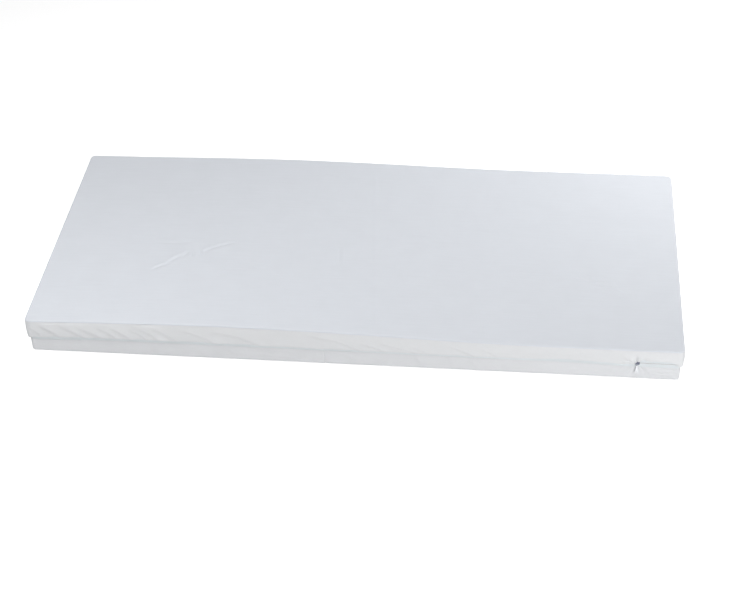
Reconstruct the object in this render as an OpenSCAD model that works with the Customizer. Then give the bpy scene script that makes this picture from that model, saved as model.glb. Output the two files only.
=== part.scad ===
// Pressure relief mattress: a foam core in a wipe-clean cover of two halves.
// A concealed zip joins the halves along the front and both ends, and the back seam is their hinge.
// X runs along the mattress, the zip side faces -Y, and the underside lies on z = 0.

/* [Mattress] */
// Overall length of the cover
mattress_l = 1980; // [1500:10:2200]
// Overall width of the cover
mattress_w = 900; // [600:10:1200]
// Overall thickness of the mattress
mattress_h = 125; // [100:1:200]
// Plan radius of the cover's upper corners
corner_r = 22; // [18:1:60]

/* [Cover] */
// Thickness of the coated fabric
fabric_t = 1.2; // [0.8:0.1:2]
// Height of the zip line and back seam above the underside
zip_z = 62.5; // [45:0.5:80]
// How far the flap hangs below the zip line
flap_drop = 5; // [4:0.5:8]
// How far the lower half stands in from the upper half
lower_inset = 7; // [6.5:0.1:10]
// Distance from the lower border's top edge up to the zip line
lower_edge_drop = 6; // [5:0.5:10]
// Plain border on each end, between the end of the zip and the back corner
plain_l = 8; // [4:1:150]
// Distance of the lower front join from the middle, towards -X
front_join = 80; // [0:5:400]

/* [Zip] */
// Height of each zip tape, from the coil to its outer edge
tape_w = 12.4; // [11:0.1:20]
// Thickness of the zip tape
tape_t = 0.5; // [0.4:0.1:0.8]
// Height of each half of the coil
coil_w = 2.4; // [1.8:0.1:4]
// Thickness of the coil
coil_t = 2.5; // [2:0.1:3.5]
// Gap between the two halves of the coil
coil_gap = 0.8; // [0.7:0.1:1.2]
// Height of the folded hem that carries the upper tape
hem_h = 7; // [5:0.5:9]
// Length of each end stop along the zip
stop_l = 5; // [3:0.5:8]

/* [Slider] */
// Distance of the parked slider from the +X end of the mattress
slider_park = 135; // [80:5:900]
// Length of the slider body
slider_l = 14; // [12:0.5:20]
// Half height of the slider at its narrow end
slider_tail = 4.2; // [4.1:0.1:5]
// Half height of the slider at its shoulders
slider_shoulder = 5.4; // [5:0.1:6.5]
// Thickness of each slider plate
plate_t = 0.8; // [0.6:0.1:1]
// Thickness of the web that joins the slider plates
web_t = 0.5; // [0.4:0.1:0.6]
// Running gap between the slider and the zip
slider_gap = 0.35; // [0.3:0.05:0.5]

/* [Pull] */
// Length of the pull below its pivot
pull_l = 28; // [18:1:40]
// Width of the pull at its end
pull_w = 9; // [7:0.5:12]
// Thickness of the pull
pull_t = 1.2; // [0.8:0.1:1.4]
// Radius of the bar that the pull hangs on
bar_r = 0.7; // [0.5:0.05:0.9]
// Running gap between the bar and the pull's eye
bar_gap = 0.08; // [0.05:0.01:0.1]
// Distance of the pivot below the flap's edge
pivot_drop = 2.5; // [2.3:0.1:4]
// Distance of the pivot in from the cover's outer face
pivot_in = 2.8; // [2.6:0.1:3.2]

/* [Foam] */
// Gap between the back of the slider and the foam core
foam_clear = 1.35; // [1.3:0.05:4]
// Thickness of the support base foam
base_foam_h = 40; // [30:1:55]
// Thickness of the memory foam layer
memory_foam_h = 30; // [20:1:40]
// Gap between the memory foam and the top panel
foam_gap = 0.4; // [0.3:0.1:2]
// Width of each firm side bolster
bolster_w = 75; // [50:5:120]
// Length of the heel zone
heel_zone_l = 560; // [300:10:700]
// Target pitch of the castellations in the torso zone
cell_pitch = 120; // [80:5:200]
// Target pitch of the cuts in the heel zone
heel_pitch = 70; // [50:5:120]
// Width of the cuts between the castellations
cut_w = 6; // [3:0.5:10]
// Depth of the cuts in the torso and heel zones
cut_depth = 30; // [10:1:40]
// Number of cross cuts under the base foam
hinge_cuts = 5; // [1:1:9]
// Distance between the cross cuts
hinge_pitch = 180; // [80:10:240]
// Depth of the cross cuts
hinge_depth = 18; // [8:1:28]

/* [Hidden] */
$fn = 96;

// Plan edges and heights of the cover
half_l = mattress_l / 2;
half_w = mattress_w / 2;
arc_y = half_w - corner_r;
zip_end_y = arc_y - plain_l;
panel_z = mattress_h - fabric_t;
flap_z = zip_z - flap_drop;
lower_edge_z = zip_z - lower_edge_drop;
lower_inner = lower_inset + fabric_t;
seam_z = zip_z - fabric_t;
reach = mattress_l + mattress_w;

// Depths in from the outer face: the tape lies on the outside of the lower border
tape_in = lower_inset - tape_t;
tape_mid = lower_inset - tape_t / 2;
coil_in = tape_mid - coil_t / 2;
coil_back = tape_mid + coil_t / 2;
coil_edge = coil_gap / 2 + coil_w;
coil_end_y = zip_end_y - stop_l;

// Slider channel and plates
channel_in = coil_in - slider_gap;
channel_back = coil_back + slider_gap;
flange_z = coil_edge + slider_gap;
slider_x = half_l - slider_park;
shoulder_x = 0.36 * slider_l;
web_l = 0.3 * slider_l;

// Pull and its pivot
pivot_z = flap_z - pivot_drop;
eye_r = bar_r + bar_gap + 0.7;
eye_w = 3.8;
ear_t = 0.8;
ear_gap = 0.3;
ear_r = 1.3;
pull_hole_r = 1.6;
neck_l = 4;

// Foam layers
foam_inset = channel_back + plate_t + foam_clear;
core_l = half_l - foam_inset;
core_w = half_w - foam_inset;
middle_z = fabric_t + base_foam_h;
middle_h = panel_z - foam_gap - memory_foam_h - middle_z;
zone_y = core_w - bolster_w;
heel_x = core_l - heel_zone_l;
torso_l = heel_x + core_l;
torso_rows = round(torso_l / cell_pitch);
torso_lanes = round(2 * zone_y / cell_pitch);
heel_rows = round(heel_zone_l / heel_pitch);

// Plan outline of the cover, set in by a depth
module outline(depth) {
    r = corner_r - depth;
    square([2 * (half_l - corner_r), 2 * (half_w - depth)], center = true);
    square([2 * (half_l - depth), 2 * arc_y], center = true);
    for (sx = [-1, 1], sy = [-1, 1])
        translate([sx * (half_l - corner_r), sy * arc_y])
            circle(r);
}

// Upright band of the cover between two depths and two heights, within a plan window
module band(d0, d1, z0, z1, x_range, y_range) {
    translate([0, 0, z0])
        linear_extrude(z1 - z0)
            intersection() {
                difference() {
                    outline(d0);
                    outline(d1);
                }
                translate([x_range[0], y_range[0]])
                    square([x_range[1] - x_range[0], y_range[1] - y_range[0]]);
            }
}

// The band's windows: the front with its corners, each end, and the back with its corners
all_x = [-reach, reach];
left_x = [-reach, 0];
right_x = [0, reach];
front_y = [-reach, -arc_y];
zipped_y = [-arc_y, zip_end_y];
plain_y = [zip_end_y, arc_y];
back_y = [arc_y, reach];
zip_run_y = [-reach, zip_end_y];
coil_run_y = [-reach, coil_end_y];

// Block of the core's middle layer, with the core's rounded plan corners
module core_block(z0, height, x_range, y_range) {
    translate([0, 0, z0])
        linear_extrude(height)
            intersection() {
                outline(foam_inset);
                translate([x_range[0], y_range[0]])
                    square([x_range[1] - x_range[0], y_range[1] - y_range[0]]);
            }
}

// Cuts straight down from the top of a zone, across and along it
module zone_cuts(x0, length, rows, lanes) {
    top = middle_z + middle_h;
    for (i = [1 : rows - 1])
        translate([x0 + i * length / rows - cut_w / 2, -zone_y - 1, top - cut_depth])
            cube([cut_w, 2 * zone_y + 2, cut_depth + 1]);
    for (j = [1 : lanes - 1])
        translate([x0 - 1, -zone_y + j * 2 * zone_y / lanes - cut_w / 2, top - cut_depth])
            cube([length + 2, cut_w, cut_depth + 1]);
}

// Upright slab facing the front, between two depths, from an outline in X and Z
module front_slab(d0, d1) {
    translate([slider_x, -half_w + d1, zip_z])
        rotate([90, 0, 0])
            linear_extrude(d1 - d0)
                children();
}

// ---- lower half of the cover ----

module bottom_panel() {
    color("whitesmoke")
        linear_extrude(fabric_t)
            outline(lower_inset);
}

module lower_border_front_left() {
    color("gainsboro")
        band(lower_inset, lower_inner, fabric_t, lower_edge_z, [-reach, -front_join], front_y);
}

module lower_border_front_right() {
    color("gainsboro")
        band(lower_inset, lower_inner, fabric_t, lower_edge_z, [-front_join, reach], front_y);
}

module lower_border_end(x_range) {
    color("gainsboro") {
        band(lower_inset, lower_inner, fabric_t, lower_edge_z, x_range, zipped_y);
        band(lower_inset, lower_inner, fabric_t, seam_z, x_range, plain_y);
    }
}

module lower_border_left() {
    lower_border_end(left_x);
}

module lower_border_right() {
    lower_border_end(right_x);
}

module lower_border_back() {
    color("gainsboro")
        band(lower_inset, lower_inner, fabric_t, seam_z, all_x, back_y);
}

// Folded seam at the hinge line, where the upper half steps out over the lower half
module back_seam_tape() {
    color("silver")
        band(fabric_t, lower_inner, seam_z, zip_z, all_x, [zip_end_y, reach]);
}

// ---- upper half of the cover ----

module top_panel() {
    color("white")
        translate([0, 0, panel_z])
            linear_extrude(fabric_t)
                outline(0);
}

module upper_border_front() {
    color("whitesmoke")
        band(0, fabric_t, flap_z, panel_z, all_x, front_y);
}

module upper_border_end(x_range) {
    color("whitesmoke") {
        band(0, fabric_t, flap_z, panel_z, x_range, zipped_y);
        band(0, fabric_t, zip_z, panel_z, x_range, plain_y);
    }
}

module upper_border_left() {
    upper_border_end(left_x);
}

module upper_border_right() {
    upper_border_end(right_x);
}

module upper_border_back() {
    color("whitesmoke")
        band(0, fabric_t, zip_z, panel_z, all_x, back_y);
}

// The border's turned-in edge, which holds the tape clear behind the flap
module upper_hem_fold() {
    hem_top = zip_z + coil_edge + tape_w;
    color("lightgray")
        band(fabric_t, tape_in, hem_top - hem_h, hem_top, all_x, zip_run_y);
}

// ---- zip ----

module zip_tape_lower() {
    color("lightsteelblue")
        band(tape_in, lower_inset, zip_z - coil_edge - tape_w, zip_z - coil_edge, all_x, zip_run_y);
}

module zip_tape_upper() {
    color("lightsteelblue")
        band(tape_in, lower_inset, zip_z + coil_edge, zip_z + coil_edge + tape_w, all_x, zip_run_y);
}

module zip_coil_lower() {
    color("silver")
        band(coil_in, coil_back, zip_z - coil_edge, zip_z - coil_gap / 2, all_x, coil_run_y);
}

module zip_coil_upper() {
    color("silver")
        band(coil_in, coil_back, zip_z + coil_gap / 2, zip_z + coil_edge, all_x, coil_run_y);
}

// One stop at each end of the lower coil
module zip_end_stops() {
    color("dimgray")
        band(coil_in, coil_back, zip_z - coil_edge, zip_z - coil_gap / 2, all_x, [coil_end_y, zip_end_y]);
}

module slider_outline() {
    polygon([
        [-slider_l / 2, -slider_tail], [0, -slider_tail],
        [shoulder_x, -slider_shoulder], [slider_l / 2, -slider_tail],
        [slider_l / 2, slider_tail], [shoulder_x, slider_shoulder],
        [0, slider_tail], [-slider_l / 2, slider_tail]
    ]);
}

module slider_rails() {
    difference() {
        slider_outline();
        square([2 * slider_l, 2 * flange_z], center = true);
    }
}

// Two ears that carry the pull's bar below the flap's edge
module slider_ears() {
    root_z = zip_z - slider_tail;
    for (side = [-1, 1])
        translate([slider_x + side * (eye_w / 2 + ear_gap + ear_t / 2) - ear_t / 2, -half_w, 0])
            rotate([90, 0, 90])
                linear_extrude(ear_t) {
                    translate([pivot_in, pivot_z])
                        circle(ear_r);
                    polygon([
                        [pivot_in - ear_r, pivot_z], [pivot_in + ear_r, pivot_z],
                        [channel_in - plate_t, root_z - 0.6], [channel_in, root_z],
                        [channel_in, zip_z], [channel_in - plate_t, zip_z],
                        [pivot_in - ear_r, pivot_z + 2.2]
                    ]);
                }
}

module zip_slider() {
    color("gray") {
        front_slab(channel_in - plate_t, channel_in)
            slider_outline();
        front_slab(channel_back, channel_back + plate_t)
            slider_outline();
        front_slab(channel_in, tape_in - slider_gap)
            slider_rails();
        front_slab(lower_inset + slider_gap, channel_back)
            slider_rails();
        front_slab(channel_in, channel_back)
            translate([slider_l / 2 - web_l, -web_t / 2])
                square([web_l, web_t]);
        slider_ears();
        translate([slider_x - eye_w / 2 - ear_gap - ear_t, -half_w + pivot_in, pivot_z])
            rotate([0, 90, 0])
                cylinder(h = eye_w + 2 * ear_gap + 2 * ear_t, r = bar_r);
    }
}

// Tab with an eye for the bar, a narrow neck and a wide rounded end
module zip_pull() {
    end_r = pull_w / 2;
    color("gray")
        difference() {
            union() {
                translate([slider_x - eye_w / 2, -half_w + pivot_in, pivot_z])
                    rotate([0, 90, 0])
                        cylinder(h = eye_w, r = eye_r);
                translate([slider_x, -half_w + pivot_in + pull_t / 2, pivot_z])
                    rotate([90, 0, 0])
                        linear_extrude(pull_t) {
                            translate([-eye_w / 2, -neck_l - 1])
                                square([eye_w, neck_l + 1]);
                            polygon([
                                [-eye_w / 2, -neck_l], [eye_w / 2, -neck_l],
                                [end_r, -pull_l + end_r], [-end_r, -pull_l + end_r]
                            ]);
                            translate([0, -pull_l + end_r])
                                circle(end_r);
                        }
            }
            translate([slider_x - eye_w, -half_w + pivot_in, pivot_z])
                rotate([0, 90, 0])
                    cylinder(h = 2 * eye_w, r = bar_r + bar_gap);
            translate([slider_x, -half_w + pivot_in + pull_t, pivot_z - pull_l + end_r])
                rotate([90, 0, 0])
                    cylinder(h = 2 * pull_t, r = pull_hole_r);
        }
}

// ---- foam core ----

module support_base_foam() {
    color("wheat")
        difference() {
            core_block(fabric_t, base_foam_h, all_x, [-reach, reach]);
            for (i = [0 : hinge_cuts - 1])
                translate([(i - (hinge_cuts - 1) / 2) * hinge_pitch - cut_w / 2, -half_w, 0])
                    cube([cut_w, mattress_w, fabric_t + hinge_depth]);
        }
}

module side_bolster_front() {
    color("khaki")
        core_block(middle_z, middle_h, all_x, [-reach, -zone_y]);
}

module side_bolster_back() {
    color("khaki")
        core_block(middle_z, middle_h, all_x, [zone_y, reach]);
}

module torso_zone_foam() {
    color("lightblue")
        difference() {
            core_block(middle_z, middle_h, [-reach, heel_x], [-zone_y, zone_y]);
            zone_cuts(-core_l, torso_l, torso_rows, torso_lanes);
        }
}

module heel_zone_foam() {
    color("lightpink")
        difference() {
            core_block(middle_z, middle_h, [heel_x, reach], [-zone_y, zone_y]);
            zone_cuts(heel_x, heel_zone_l, heel_rows, 2);
        }
}

module memory_foam_layer() {
    color("moccasin")
        core_block(middle_z + middle_h, memory_foam_h, all_x, [-reach, reach]);
}

bottom_panel();
lower_border_front_left();
lower_border_front_right();
lower_border_left();
lower_border_right();
lower_border_back();
back_seam_tape();
top_panel();
upper_border_front();
upper_border_left();
upper_border_right();
upper_border_back();
upper_hem_fold();
zip_tape_lower();
zip_tape_upper();
zip_coil_lower();
zip_coil_upper();
zip_end_stops();
zip_slider();
zip_pull();
support_base_foam();
side_bolster_front();
side_bolster_back();
torso_zone_foam();
heel_zone_foam();
memory_foam_layer();
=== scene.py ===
import math

import bmesh
import bpy
import numpy as np
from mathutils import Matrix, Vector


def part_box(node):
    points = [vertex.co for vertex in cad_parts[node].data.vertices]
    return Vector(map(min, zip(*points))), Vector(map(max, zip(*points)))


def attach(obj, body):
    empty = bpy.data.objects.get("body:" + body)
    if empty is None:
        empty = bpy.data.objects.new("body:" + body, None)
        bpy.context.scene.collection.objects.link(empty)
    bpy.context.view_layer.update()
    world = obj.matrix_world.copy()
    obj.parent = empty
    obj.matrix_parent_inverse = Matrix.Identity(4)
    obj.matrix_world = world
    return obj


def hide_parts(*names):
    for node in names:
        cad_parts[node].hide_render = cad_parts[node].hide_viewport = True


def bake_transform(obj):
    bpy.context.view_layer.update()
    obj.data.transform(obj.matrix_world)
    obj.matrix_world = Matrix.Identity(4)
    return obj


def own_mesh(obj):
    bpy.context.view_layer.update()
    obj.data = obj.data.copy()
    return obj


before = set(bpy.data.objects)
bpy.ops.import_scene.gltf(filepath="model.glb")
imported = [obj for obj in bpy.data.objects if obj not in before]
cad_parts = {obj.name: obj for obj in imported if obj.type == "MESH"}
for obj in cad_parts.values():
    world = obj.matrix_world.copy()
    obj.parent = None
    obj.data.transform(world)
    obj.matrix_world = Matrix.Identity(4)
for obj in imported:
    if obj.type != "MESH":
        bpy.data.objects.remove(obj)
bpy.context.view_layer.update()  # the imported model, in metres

# ---- the cover's plan and heights, read from the frame ----

topLow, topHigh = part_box("top_panel")
borderLow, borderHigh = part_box("upper_border_front")
baseLow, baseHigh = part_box("bottom_panel")
tapeLow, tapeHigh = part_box("zip_tape_lower")
coilLow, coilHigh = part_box("zip_coil_lower")
upperCoilLow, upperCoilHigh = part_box("zip_coil_upper")
hemFoldLow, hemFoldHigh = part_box("upper_hem_fold")
sliderLow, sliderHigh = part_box("zip_slider")

halfLength = topHigh.x
halfWidth = topHigh.y
height = topHigh.z
cornerR = borderHigh.y - borderLow.y
fabricT = topHigh.z - topLow.z
flapZ = borderLow.z
zipZ = 0.5 * (coilHigh.z + upperCoilLow.z)
lowerInset = halfLength - baseHigh.x
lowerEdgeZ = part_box("lower_border_front_left")[1].z
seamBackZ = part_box("lower_border_back")[1].z
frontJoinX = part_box("lower_border_front_left")[1].x
tapeIn = halfLength - tapeHigh.x
coilIn = halfLength - coilHigh.x
coilHalf = coilHigh.z - coilLow.z
zipEndY = tapeHigh.y
coilEndY = coilHigh.y
sliderX = 0.5 * (sliderLow.x + sliderHigh.x)

straightX = halfLength - cornerR  # half of the front's straight stretch
straightY = halfWidth - cornerR
arcLength = 0.5 * math.pi * cornerR
sideLengths = np.array([2 * straightX, arcLength, 2 * straightY, arcLength] * 2)
sideStarts = np.concatenate([[0], np.cumsum(sideLengths)])
aroundLength = sideStarts[-1]

# arc lengths round the plan, counted from the left end of the front's straight stretch
frontStart = -arcLength
frontEnd = 2 * straightX + arcLength
rightEnd = frontEnd + 2 * straightY
backEnd = rightEnd + 2 * straightX + 2 * arcLength
leftEnd = aroundLength - arcLength
zippedEnd = zipEndY + straightY  # how far the zip runs up each end
zipStart = frontStart - zippedEnd
zipStop = frontEnd + zippedEnd
coilTrim = zipEndY - coilEndY

# how the foam has settled: the ends a little low and the middle crowned
settling = {
    # drop of the ends, height, place and reach of the crown, for the front edge and for the back edge
    "front": (0.0085, 0.0200, -0.36, 0.98),
    "back": (0.0065, 0.0120, -0.27, 0.80),
    "zipLift": 0.0085,  # the zip's line rises over this much of the front, from x to x
    "zipFrom": -0.93,
    "zipTo": 0.845,
    "zipSlope": 0.21,
    "cornerPower": 3.0,  # 2 draws the plan's corners round, more draws them squarer
    "openKeep": 0.905,  # the opened cover, with no foam in it, sinks to this much of its height
}


def smoothStep(t):  # 3t^2 - 2t^3 between 0 and 1
    t = np.clip(t, 0, 1)
    return t * t * (3 - 2 * t)


def hump(x, centre, reach):  # cosine squared, 1 at the centre and 0 past its reach
    t = np.clip(np.abs(x - centre) / reach, 0, 1)
    return np.cos(0.5 * math.pi * t) ** 2


def crown(x, edge):
    drop, rise, centre, reach = settling[edge]
    return rise * hump(x, centre, reach) - drop


def zipRise(x):
    slope = settling["zipSlope"]
    ends = smoothStep((x - settling["zipFrom"]) / slope) * smoothStep((settling["zipTo"] - x) / slope)
    return settling["zipLift"] * ends * (1 - 0.2 * smoothStep(x / 0.5))


def settled(x, y, z):  # z moved by nothing at the floor, zipLift at the zip and crown at the top, and between in proportion
    frontShare = smoothStep((halfWidth - y) / (2 * halfWidth))
    zipMove = zipRise(x) * frontShare  # the hinge along the back stays straight
    topMove = crown(x, "back") * (1 - frontShare) + crown(x, "front") * frontShare
    below = zipMove * z / zipZ
    above = zipMove + (topMove - zipMove) * (z - zipZ) / (height - zipZ)
    return z + np.where(z < zipZ, below, above)


def squared(angle):  # how far a corner reaches past its quarter circle: 1 / (|cos|^p + |sin|^p)^(1/p)
    power = settling["cornerPower"]
    return (np.abs(np.cos(angle)) ** power + np.abs(np.sin(angle)) ** power) ** (-1 / power)


def outlinePoint(s, depth):  # the plan is straights and quarter arcs: corner centre + straight run + (radius - depth) * outward
    s = np.asarray(s, float) % aroundLength
    side = np.clip(np.searchsorted(sideStarts, s, side="right") - 1, 0, 7)
    along = s - sideStarts[side]
    centreX = straightX * np.array([-1, 1, 1, 1, 1, -1, -1, -1])[side]
    centreY = straightY * np.array([-1, -1, -1, 1, 1, 1, 1, -1])[side]
    base = 0.5 * math.pi * (side // 2 - 1)
    isStraight = side % 2 == 0
    angle = base + np.where(isStraight, 0, along / cornerR)
    run = np.where(isStraight, along, 0)
    outX, outY = np.cos(angle), np.sin(angle)
    reach = (cornerR - depth) * squared(angle)
    x = centreX - np.sin(base) * run + reach * outX
    y = centreY + np.cos(base) * run + reach * outY
    return x, y, outX, outY


def linesBetween(low, high, spacing, fineRanges=()):  # even steps, closer together inside each (from, to, spacing)
    probe = np.linspace(low, high, 4001)
    density = np.full_like(probe, 1 / spacing)
    for start, stop, fine in fineRanges:
        edge = 2 * spacing
        window = smoothStep((probe - start + edge) / edge) * smoothStep((stop + edge - probe) / edge)
        density = density + (1 / fine - 1 / spacing) * window
    counted = np.concatenate([[0], np.cumsum(0.5 * (density[1:] + density[:-1]) * np.diff(probe))])
    steps = int(round(counted[-1]))
    return np.interp(np.linspace(0, counted[-1], steps + 1), counted, probe)


def creases(x, y, marks):  # each mark is a bent line with a valley along it and a softer ridge on both sides
    total = np.zeros(np.broadcast(x, y).shape)
    for startX, startY, endX, endY, bend, width, deep in marks:
        runX, runY = endX - startX, endY - startY
        length = math.hypot(runX, runY)
        t = ((x - startX) * runX + (y - startY) * runY) / length**2
        off = ((y - startY) * runX - (x - startX) * runY) / length - bend * 4 * t * (1 - t)
        q = off / width
        across = -np.exp(-(q**2)) + 0.65 * np.exp(-(((q - 1.7) / 1.3) ** 2)) + 0.35 * np.exp(-(((q + 1.7) / 1.3) ** 2))
        ends = np.sin(math.pi * np.clip(t, 0, 1)) ** 0.7
        total = total + deep * across * ends
    return total


def folds(x, z, marks):  # each mark is a bent line where the cloth above it stands out and drops back in below it
    total = np.zeros(np.broadcast(x, z).shape)
    for startX, startZ, endX, endZ, bend, width, out in marks:
        runX, runZ = endX - startX, endZ - startZ
        length = math.hypot(runX, runZ)
        t = ((x - startX) * runX + (z - startZ) * runZ) / length**2
        off = ((z - startZ) * runX - (x - startX) * runZ) / length - bend * 4 * t * (1 - t)
        q = off / width
        step = 0.5 + 0.5 * q / np.sqrt(q**2 + 0.6)
        across = step * np.exp(-np.maximum(q, 0) / 2.2) - 0.18 * np.exp(-(((q + 1.2) / 1.2) ** 2))
        ends = smoothStep((t + 0.25) / 0.5) * (0.4 + 0.6 * smoothStep((1.15 - t) / 0.35))
        total = total + out * across * ends
    return total


# ---- building meshes ----


def meshFrom(name, vertices, faces, uv=None):  # vertices (n, 3), faces (m, 4), and a place in the cloth for each vertex
    mesh = bpy.data.meshes.new(name)
    faces = np.asarray(faces, np.int32)
    mesh.vertices.add(len(vertices))
    mesh.vertices.foreach_set("co", np.asarray(vertices, np.float32).ravel())
    mesh.loops.add(faces.size)
    mesh.loops.foreach_set("vertex_index", faces.ravel())
    mesh.polygons.add(len(faces))
    mesh.polygons.foreach_set("loop_start", np.arange(0, faces.size, faces.shape[1], dtype=np.int32))
    mesh.polygons.foreach_set("use_smooth", np.ones(len(faces), bool))
    mesh.update(calc_edges=True)
    if uv is not None:
        layer = mesh.uv_layers.new(name="cloth")
        layer.data.foreach_set("uv", np.asarray(uv, np.float32)[faces.ravel()].ravel())
    mesh.validate()
    piece = bpy.data.objects.new(name, mesh)
    bpy.context.scene.collection.objects.link(piece)
    return piece


def gridFaces(rows, columns, turned=False, ring=False):  # quads of a grid, wound the other way if turned
    index = np.arange(rows * columns).reshape(rows, columns)
    if ring:
        index = np.concatenate([index, index[:, :1]], axis=1)
    a, b, c, d = index[:-1, :-1], index[:-1, 1:], index[1:, 1:], index[1:, :-1]
    corners = (a, d, c, b) if turned else (a, b, c, d)
    return np.stack(corners, axis=-1).reshape(-1, 4)


def thicken(piece, thickness):  # cloth thickness, on the inside of the outer face
    solid = piece.modifiers.new("thickness", "SOLIDIFY")
    solid.thickness = thickness
    solid.offset = -1
    solid.use_even_offset = False


def stripSheet(name, s, depth, z, lengthAlong=None):  # a sheet round the plan: rows go down, columns go along s
    rows, columns = depth.shape
    sGrid = np.broadcast_to(s, (rows, columns))
    x, y, outX, outY = outlinePoint(sGrid, depth)
    z = settled(x, y, z)
    down = np.concatenate([np.zeros((1, columns)), np.cumsum(np.hypot(np.diff(depth, axis=0), np.diff(z, axis=0)), axis=0)])
    uv = np.stack([sGrid, -down], axis=-1).reshape(-1, 2)
    vertices = np.stack([x, y, z], axis=-1).reshape(-1, 3)
    return meshFrom(name, vertices, gridFaces(rows, columns, turned=True), uv)


def copyOfNode(name, node, bevel, slices=0, settle=False):  # a merged copy of a CAD node with eased edges
    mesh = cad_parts[node].data.copy()
    mesh.name = name
    piece = bpy.data.objects.new(name, mesh)
    bpy.context.scene.collection.objects.link(piece)
    work = bmesh.new()
    work.from_mesh(mesh)
    bmesh.ops.remove_doubles(work, verts=work.verts, dist=1e-6)
    bmesh.ops.dissolve_limit(work, angle_limit=math.radians(1), verts=work.verts, edges=work.edges)
    low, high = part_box(node)
    for cut in np.linspace(low.x, high.x, slices + 2)[1:-1]:
        everything = list(work.verts) + list(work.edges) + list(work.faces)
        bmesh.ops.bisect_plane(work, geom=everything, plane_co=(float(cut), 0, 0), plane_no=(1, 0, 0))
    bmesh.ops.recalc_face_normals(work, faces=work.faces)
    if settle:
        for vertex in work.verts:
            vertex.co.z = float(settled(vertex.co.x, vertex.co.y, np.array(vertex.co.z)))
    work.to_mesh(mesh)
    work.free()
    mesh.materials.clear()
    easing = piece.modifiers.new("eased_edges", "BEVEL")
    easing.width = bevel
    easing.segments = 2
    easing.limit_method = "ANGLE"
    easing.angle_limit = math.radians(40)
    easing.harden_normals = False
    mesh.polygons.foreach_set("use_smooth", np.ones(len(mesh.polygons), bool))
    mesh.set_sharp_from_angle(angle=math.radians(50))
    return piece


# ---- materials ----


def newMaterial(name, colour, roughness):
    material = bpy.data.materials.new(name)
    material.use_nodes = True
    shader = material.node_tree.nodes["Principled BSDF"]
    shader.inputs["Base Color"].default_value = (*colour, 1)
    shader.inputs["Roughness"].default_value = roughness
    return material, material.node_tree, shader


def addNode(tree, kind, **settings):
    node = tree.nodes.new(kind)
    for key, value in settings.items():
        if key in node.inputs:
            node.inputs[key].default_value = value
        else:
            setattr(node, key, value)
    return node


def fabricMaterial(name, look):  # woven white cloth on the piece's own cloth coordinates
    material, tree, shader = newMaterial(name, look["colour"], look["roughness"])
    link = tree.links.new
    shader.inputs["Sheen Weight"].default_value = look["sheen"]
    shader.inputs["Sheen Roughness"].default_value = 0.45
    shader.inputs["Specular IOR Level"].default_value = look["specular"]
    cloth = addNode(tree, "ShaderNodeUVMap", uv_map="cloth")
    heights = []
    for direction in ("X", "Y"):  # warp and weft
        threads = addNode(tree, "ShaderNodeTexWave", wave_type="BANDS", bands_direction=direction)
        threads.inputs["Scale"].default_value = 0.314 / look["thread"]
        threads.inputs["Distortion"].default_value = 0.6
        threads.inputs["Detail Scale"].default_value = 3
        link(cloth.outputs["UV"], threads.inputs["Vector"])
        heights.append(threads.outputs["Fac"])
    weave = addNode(tree, "ShaderNodeMath", operation="MULTIPLY")
    link(heights[0], weave.inputs[0])
    link(heights[1], weave.inputs[1])
    stretch = addNode(tree, "ShaderNodeMapping")
    stretch.inputs["Scale"].default_value = look["slubScale"]
    link(cloth.outputs["UV"], stretch.inputs["Vector"])
    slub = addNode(tree, "ShaderNodeTexNoise", Scale=1.0, Detail=4.0, Roughness=0.65)
    link(stretch.outputs["Vector"], slub.inputs["Vector"])
    patches = addNode(tree, "ShaderNodeTexNoise", Scale=look["patchScale"], Detail=5.0, Roughness=0.6)
    link(cloth.outputs["UV"], patches.inputs["Vector"])
    both = addNode(tree, "ShaderNodeMix", data_type="FLOAT")
    both.inputs["Factor"].default_value = 0.45
    link(slub.outputs["Fac"], both.inputs["A"])
    link(patches.outputs["Fac"], both.inputs["B"])
    ramp = addNode(tree, "ShaderNodeValToRGB")
    ramp.color_ramp.elements[0].position = 0.3
    ramp.color_ramp.elements[1].position = 0.7
    ramp.color_ramp.elements[0].color = (*[c * (1 - look["mottle"]) for c in look["colour"]], 1)
    ramp.color_ramp.elements[1].color = (*[min(1, c * (1 + look["mottle"])) for c in look["colour"]], 1)
    link(both.outputs["Result"], ramp.inputs["Fac"])
    link(ramp.outputs["Color"], shader.inputs["Base Color"])
    fine = addNode(tree, "ShaderNodeBump")
    fine.inputs["Strength"].default_value = look["weaveBump"]
    fine.inputs["Distance"].default_value = 0.0002
    link(weave.outputs["Value"], fine.inputs["Height"])
    broad = addNode(tree, "ShaderNodeBump")
    broad.inputs["Strength"].default_value = look["slubBump"]
    broad.inputs["Distance"].default_value = 0.0015
    link(both.outputs["Result"], broad.inputs["Height"])
    link(fine.outputs["Normal"], broad.inputs["Normal"])
    link(broad.outputs["Normal"], shader.inputs["Normal"])
    return material


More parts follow.
